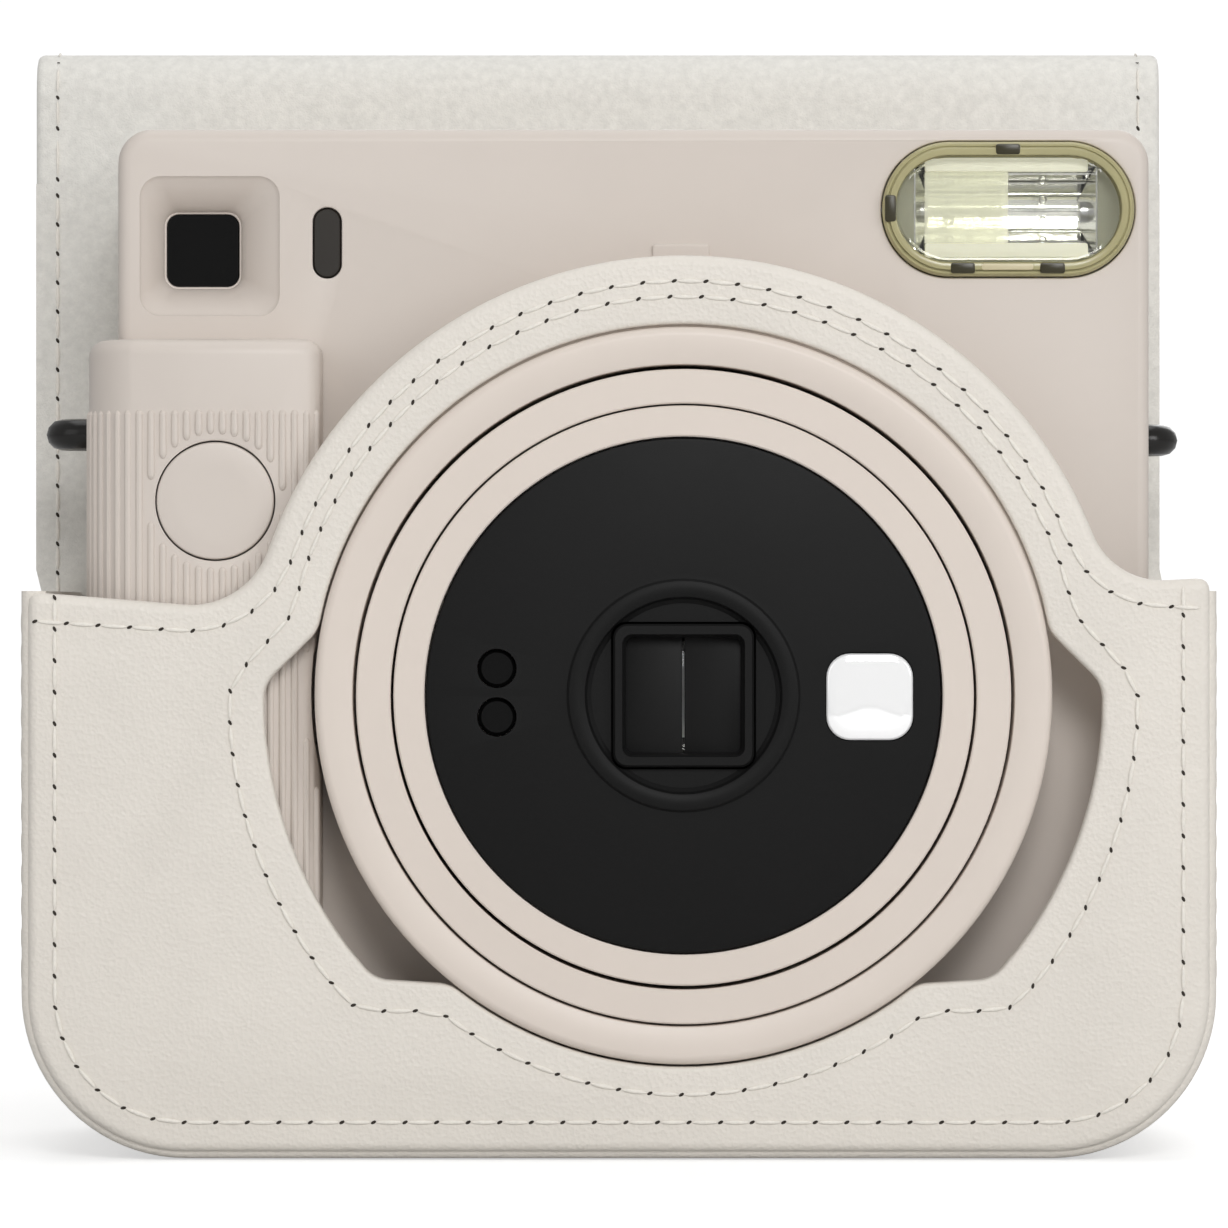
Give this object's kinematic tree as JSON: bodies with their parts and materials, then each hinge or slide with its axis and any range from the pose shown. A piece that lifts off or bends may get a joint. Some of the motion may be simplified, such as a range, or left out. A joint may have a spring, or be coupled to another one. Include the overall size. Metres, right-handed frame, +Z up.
{
  "type": "instant camera",
  "caption": "Instant camera with a twist-out lens, grip, flash and rear film door, in a fitted leather case whose folding flap stands open",
  "frame": {"origin": "on the floor, on the underside of the case near its middle", "axes": "+Z up, -Y is the camera's front, +X to the right when facing the lens"},
  "size_m": [0.1483, 0.1217, 0.14],
  "materials": {
    "chalk_plastic": "fine satin moulded texture",
    "black_plastic": "matte black",
    "smoked_window": "smooth dark window",
    "clear_glass": "clear and smooth",
    "tinted_plastic": "translucent olive tint",
    "mirror_metal": "polished reflector",
    "steel": "machined",
    "brass": "machined",
    "rubber": "black, slightly glossy",
    "circuit_green": "lacquered board",
    "film_paper": "coated film sheets",
    "battery_sleeve": "printed sleeve without lettering",
    "case_leather": "off-white artificial leather, felt inside"
  },
  "bodies": {
    "camera": {"front_shell": "chalk_plastic", "rear_shell": "chalk_plastic", "grip_cover": "chalk_plastic", "button_spring": "steel", "lens_base": "black_plastic", "dark_box": "black_plastic", "viewfinder_window": "smoked_window", "viewfinder_tube": "black_plastic", "viewfinder_eyepiece": "black_plastic", "light_sensor_window": "smoked_window", "flash_bezel": "tinted_plastic", "flash_window": "clear_glass", "flash_reflector": "mirror_metal", "flash_tube": "clear_glass", "flash_capacitor": "black_plastic", "circuit_board": "circuit_green", "motor": "steel", "battery_lower": "battery_sleeve", "battery_upper": "battery_sleeve", "contact_lower": "brass", "contact_upper": "brass", "door_hinge_pin": "steel", "film_cassette": "black_plastic", "film_stack": "film_paper", "strap_lug_left": "rubber", "strap_lug_right": "rubber", "screw_left": "steel", "screw_right": "steel", "case_front": "case_leather", "case_gusset": "case_leather", "case_back": "case_leather"},
    "ring": {"lens_ring": "chalk_plastic"},
    "barrel_outer": {"outer_barrel": "chalk_plastic"},
    "barrel_inner": {"inner_barrel": "chalk_plastic", "face_plate": "black_plastic", "door_frame": "black_plastic", "selfie_mirror": "mirror_metal", "sensor_window_upper": "smoked_window", "sensor_window_lower": "smoked_window", "front_lens": "clear_glass", "rear_lens": "clear_glass", "shutter_plate": "black_plastic"},
    "leaf_left": {"lens_door_left": "black_plastic"},
    "leaf_right": {"lens_door_right": "black_plastic"},
    "button": {"shutter_button": "chalk_plastic"},
    "blade": {"shutter_blade": "steel"},
    "back_door": {"film_door": "chalk_plastic", "counter_window": "smoked_window", "pressure_spring": "steel"},
    "latch": {"door_latch": "chalk_plastic"},
    "battery_hatch": {"battery_door": "chalk_plastic"},
    "roller_front": {"eject_roller_front": "steel", "roller_gear": "brass"},
    "roller_rear": {"eject_roller_rear": "steel"},
    "idler": {"idler_gear": "brass"},
    "pinion": {"motor_pinion": "brass"},
    "riser": {"flap_riser": "case_leather"},
    "roof": {"flap_roof": "case_leather"},
    "front_flap": {"flap_front": "case_leather"}
  },
  "joints": [
    {"name": "lens_twist", "type": "hinge", "parent": "camera", "child": "ring", "pos_m": [0.00844, 0, 0.0563], "axis": [0, -1, 0], "range_deg": [0, 40]},
    {"name": "outer_barrel_slide", "type": "slide", "parent": "camera", "child": "barrel_outer", "axis": [0, -1, 0], "range_m": [0, 0.0045]},
    {"name": "inner_barrel_slide", "type": "slide", "parent": "camera", "child": "barrel_inner", "axis": [0, -1, 0], "range_m": [0, 0.009]},
    {"name": "leaf_left_slide", "type": "slide", "parent": "barrel_inner", "child": "leaf_left", "axis": [-1, 0, 0], "range_m": [0, 0.0072]},
    {"name": "leaf_right_slide", "type": "slide", "parent": "barrel_inner", "child": "leaf_right", "axis": [1, 0, 0], "range_m": [0, 0.0072]},
    {"name": "button_press", "type": "slide", "parent": "camera", "child": "button", "axis": [0, 1, 0], "range_m": [0, 0.0015], "stiffness_N_per_m": 300, "deforming": ["button_spring"]},
    {"name": "blade_swing", "type": "hinge", "parent": "barrel_inner", "child": "blade", "pos_m": [0.02444, -0.0269, 0.0563], "axis": [0, 1, 0], "range_deg": [0, 25]},
    {"name": "back_door_hinge", "type": "hinge", "parent": "camera", "child": "back_door", "pos_m": [0.00844, 0.0209, 0.013], "axis": [-1, 0, 0], "range_deg": [0, 90]},
    {"name": "latch_slide", "type": "slide", "parent": "back_door", "child": "latch", "axis": [0, 0, -1], "range_m": [0, 0.004], "stiffness_N_per_m": 150},
    {"name": "hatch_hinge", "type": "hinge", "parent": "camera", "child": "battery_hatch", "pos_m": [-0.0577, 0.0205, 0.041], "axis": [0, 0, 1], "range_deg": [0, 95]},
    {"name": "front_roller_spin", "type": "hinge", "parent": "camera", "child": "roller_front", "pos_m": [0, 0.0043, 0.1145], "axis": [1, 0, 0], "continuous": true},
    {"name": "rear_roller_spin", "type": "hinge", "parent": "camera", "child": "roller_rear", "pos_m": [0, 0.0117, 0.1145], "axis": [1, 0, 0], "continuous": true},
    {"name": "idler_spin", "type": "hinge", "parent": "camera", "child": "idler", "pos_m": [0.0502, -0.00321, 0.10316], "axis": [1, 0, 0], "continuous": true},
    {"name": "pinion_spin", "type": "hinge", "parent": "camera", "child": "pinion", "pos_m": [0.0502, -0.0122, 0.09981], "axis": [1, 0, 0], "continuous": true},
    {"name": "flap_hinge", "type": "hinge", "parent": "camera", "child": "riser", "pos_m": [0, 0.0239, 0.128], "axis": [1, 0, 0], "range_deg": [0, 90]},
    {"name": "flap_roof_fold", "type": "hinge", "parent": "riser", "child": "roof", "pos_m": [0, 0.0239, 0.1402], "axis": [1, 0, 0], "range_deg": [0, 120]},
    {"name": "flap_front_fold", "type": "hinge", "parent": "roof", "child": "front_flap", "pos_m": [0, 0.06807, 0.1147], "axis": [1, 0, 0], "range_deg": [0, 115]}
  ],
  "couplings": [
    {"joint": "outer_barrel_slide", "follows": "lens_twist", "m_per_rad": 0.0064457},
    {"joint": "inner_barrel_slide", "follows": "lens_twist", "m_per_rad": 0.012892},
    {"joint": "leaf_left_slide", "follows": "lens_twist", "m_per_rad": 0.010313},
    {"joint": "leaf_right_slide", "follows": "lens_twist", "m_per_rad": 0.010313},
    {"joint": "blade_swing", "follows": "button_press", "rad_per_m": 290.89},
    {"joint": "rear_roller_spin", "follows": "front_roller_spin", "ratio": -1},
    {"joint": "idler_spin", "follows": "front_roller_spin", "ratio": -1.125},
    {"joint": "pinion_spin", "follows": "front_roller_spin", "ratio": 2.25},
    {"joint": "flap_roof_fold", "follows": "flap_hinge", "ratio": 1.3333},
    {"joint": "flap_front_fold", "follows": "flap_hinge", "ratio": 1.2778}
  ]
}
